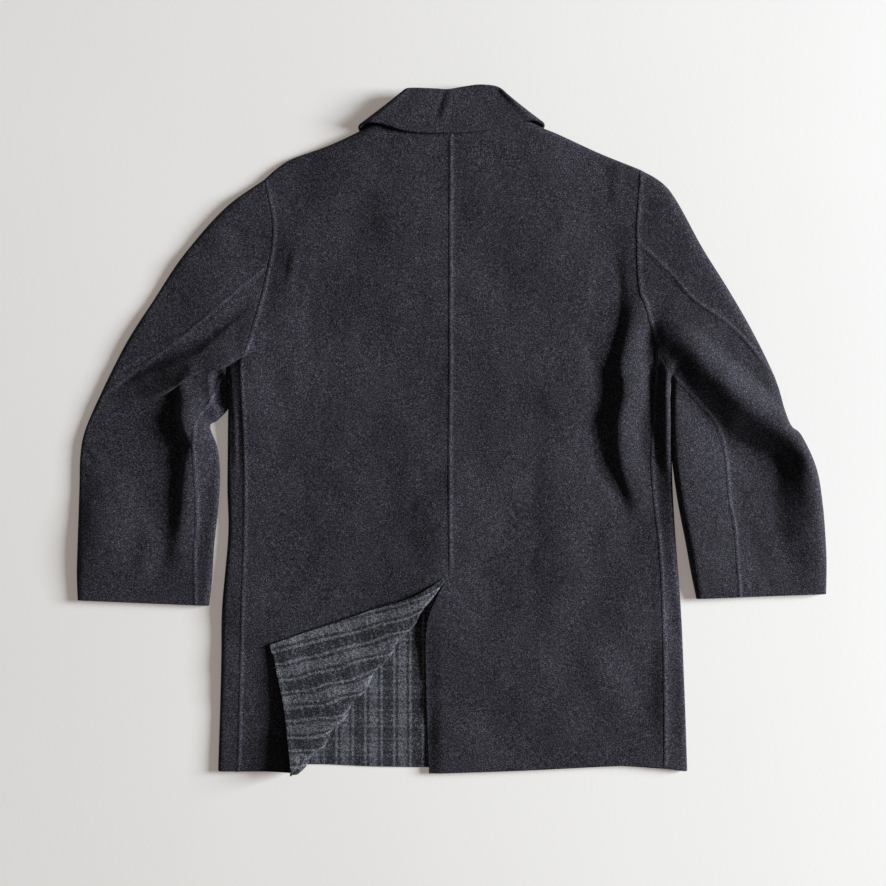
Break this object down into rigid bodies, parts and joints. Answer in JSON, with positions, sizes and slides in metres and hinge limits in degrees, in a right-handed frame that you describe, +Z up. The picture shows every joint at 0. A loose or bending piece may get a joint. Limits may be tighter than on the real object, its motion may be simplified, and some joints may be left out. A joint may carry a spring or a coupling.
{
  "type": "wool coat laid flat, seen from the back",
  "caption": "Hip-to-thigh-length wool coat lying face down and flat: turn-down collar, set-in sleeves with back seams, centre back seam, and a back vent with one corner turned over.",
  "frame": {"origin": "on the surface the coat lies on, below the middle of its outline", "axes": "+X across the coat towards the wearer's right sleeve, +Y from hem to collar, +Z up out of the coat's back"},
  "size_m": [0.9605, 0.8804, 0.0338],
  "materials": {
    "wool": "brushed double-faced wool, charcoal melange outside with a grey shadow check inside"
  },
  "bodies": {
    "root": {"back_left": "wool", "back_right": "wool", "front_left": "wool", "front_right": "wool", "top_sleeve_left": "wool", "under_sleeve_left": "wool", "top_sleeve_right": "wool", "under_sleeve_right": "wool", "collar": "wool"}
  },
  "joints": []
}
